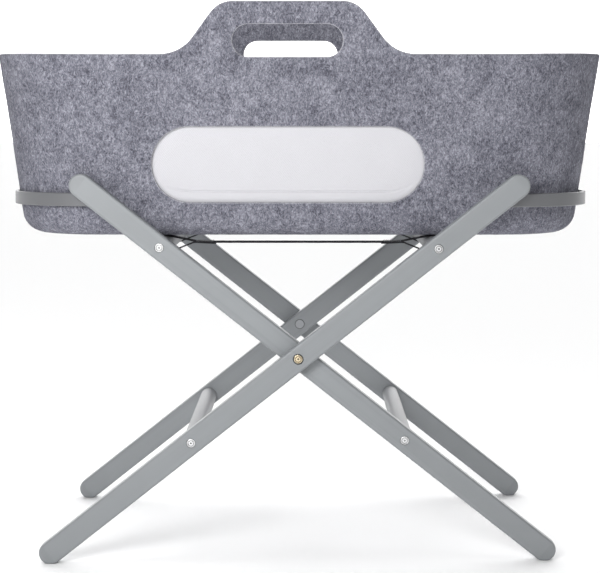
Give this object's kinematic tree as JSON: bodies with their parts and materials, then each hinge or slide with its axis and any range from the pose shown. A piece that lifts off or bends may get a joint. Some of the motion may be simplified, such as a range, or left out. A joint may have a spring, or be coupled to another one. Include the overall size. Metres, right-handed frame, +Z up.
{
  "type": "bassinet on stand",
  "caption": "Felt carrying basket with mattress on a folding scissor stand with crossed flat legs, round crossbars and end bands.",
  "frame": {"origin": "on the floor, midway between the feet, under the pivots", "axes": "+X along the basket to the right as seen from the front, +Y to the far side, +Z up"},
  "size_m": [0.8384, 0.42, 0.746],
  "materials": {
    "leg_paint": "satin grey lacquer",
    "crossbar_paint": "satin silver-grey lacquer",
    "band_steel": "satin grey powder coat",
    "screw_steel": "bright zinc",
    "insert_brass": "plain",
    "pivot_brass": "brass-plated",
    "pivot_cap": "satin grey",
    "washer_nylon": "natural nylon",
    "webbing": "dark woven webbing",
    "felt": "mottled grey wool-look felt",
    "mesh": "fine white spacer mesh",
    "board": "plain hardboard",
    "foam": "open-cell foam",
    "mattress_fabric": "white knitted cover"
  },
  "bodies": {
    "front_frame": {"front_leg_near": "leg_paint", "front_leg_far": "leg_paint", "right_top_crossbar": "crossbar_paint", "left_lower_crossbar": "crossbar_paint", "right_end_band": "band_steel", "front_band_screws": "screw_steel", "front_crossbar_screws": "screw_steel", "front_crossbar_inserts": "insert_brass", "near_pivot_bolt": "pivot_brass", "near_pivot_nut": "pivot_cap", "near_pivot_washer": "washer_nylon", "near_strap": "webbing", "far_strap": "webbing"},
    "back_frame": {"back_leg_near": "leg_paint", "back_leg_far": "leg_paint", "left_top_crossbar": "crossbar_paint", "right_lower_crossbar": "crossbar_paint", "left_end_band": "band_steel", "back_band_screws": "screw_steel", "back_crossbar_screws": "screw_steel", "back_crossbar_inserts": "insert_brass", "far_pivot_bolt": "pivot_brass", "far_pivot_nut": "pivot_cap", "far_pivot_washer": "washer_nylon"},
    "basket": {"felt_shell": "felt", "near_window_mesh": "mesh", "far_window_mesh": "mesh", "base_board": "board"},
    "mattress": {"mattress_core": "foam", "mattress_cover": "mattress_fabric"}
  },
  "joints": [
    {"name": "stand_fold", "type": "hinge", "parent": "front_frame", "child": "back_frame", "pos_m": [0, 0, 0.27708], "axis": [0, 1, 0], "range_deg": [0, 94.2], "deforming": ["near_strap", "far_strap"]},
    {"name": "basket_lift", "type": "slide", "parent": "front_frame", "child": "basket", "axis": [0.204, 0, 0.979], "range_m": [0, 1.211]},
    {"name": "mattress_lift", "type": "slide", "parent": "basket", "child": "mattress", "axis": [0, 0, 1], "range_m": [0, 0.32]}
  ],
  "couplings": [
    {"joint": "basket_lift", "follows": "stand_fold", "m_per_rad": 0.7355}
  ]
}
